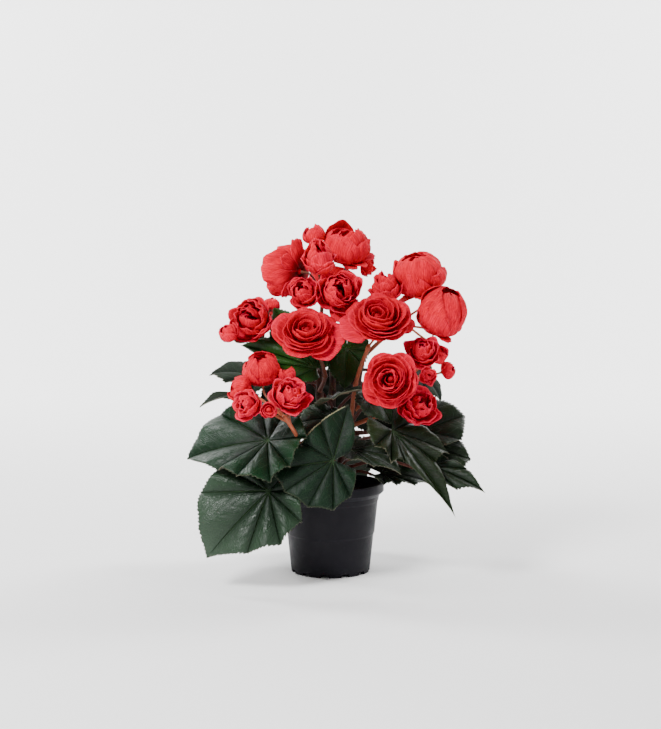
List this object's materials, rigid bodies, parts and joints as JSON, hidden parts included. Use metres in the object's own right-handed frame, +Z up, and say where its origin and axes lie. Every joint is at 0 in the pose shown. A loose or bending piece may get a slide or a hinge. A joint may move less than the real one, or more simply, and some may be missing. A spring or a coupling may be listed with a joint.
{
  "type": "potted begonia",
  "caption": "Bushy double-flowered plant with rose-like red blooms, buds and serrated heart-shaped leaves on branching stems, in a round dark nursery pot on a notched foot.",
  "frame": {"origin": "on the ground, on the pot's axis, which is also the middle of the plant's spread", "axes": "+Z up along the pot's axis, -Y out of the side that the front blooms look to, +X to the right of a viewer who faces them"},
  "size_m": [0.3231, 0.2491, 0.3885],
  "materials": {
    "pot": "satin",
    "soil": "matte",
    "stem": "satin",
    "leaf": "satin",
    "petal": "matte"
  },
  "bodies": {
    "root": {"bloom_back_left": "petal", "bloom_back_low": "petal", "bloom_back_right": "petal", "bloom_back_top": "petal", "bloom_left": "petal", "bloom_left_rear": "petal", "bloom_left_small": "petal", "bloom_low_left": "petal", "bloom_low_rear": "petal", "bloom_low_right": "petal", "bloom_low_rose": "petal", "bloom_low_round": "petal", "bloom_low_side": "petal", "bloom_low_tall": "petal", "bloom_middle_bud": "petal", "bloom_middle_open": "petal", "bloom_middle_round": "petal", "bloom_middle_small": "petal", "bloom_right_bud": "petal", "bloom_right_side": "petal", "bloom_right_small": "petal", "bloom_right_top": "petal", "bloom_rose_left": "petal", "bloom_rose_low": "petal", "bloom_rose_right": "petal", "bloom_top_bud": "petal", "bloom_top_front": "petal", "bloom_top_left": "petal", "bloom_top_middle": "petal", "bloom_top_right": "petal", "bloom_top_side": "petal", "bloom_top_small": "petal", "leaf_back_inner": "leaf", "leaf_back_left": "leaf", "leaf_back_middle": "leaf", "leaf_back_right": "leaf", "leaf_back_upper": "leaf", "leaf_centre_right": "leaf", "leaf_centre_shelf": "leaf", "leaf_centre_upright": "leaf", "leaf_front": "leaf", "leaf_front_rear": "leaf", "leaf_inner_right": "leaf", "leaf_left_back_curled": "leaf", "leaf_left_back_dark": "leaf", "leaf_left_behind": "leaf", "leaf_left_lower": "leaf", "leaf_left_upper": "leaf", "leaf_right_behind": "leaf", "leaf_right_drooping": "leaf", "leaf_right_long": "leaf", "leaf_right_low": "leaf", "leaf_right_middle": "leaf", "leaf_right_rear": "leaf", "leaf_right_upper": "leaf", "leaf_upper_mid": "leaf", "pot": "pot", "soil": "soil", "stems": "stem"}
  },
  "joints": []
}
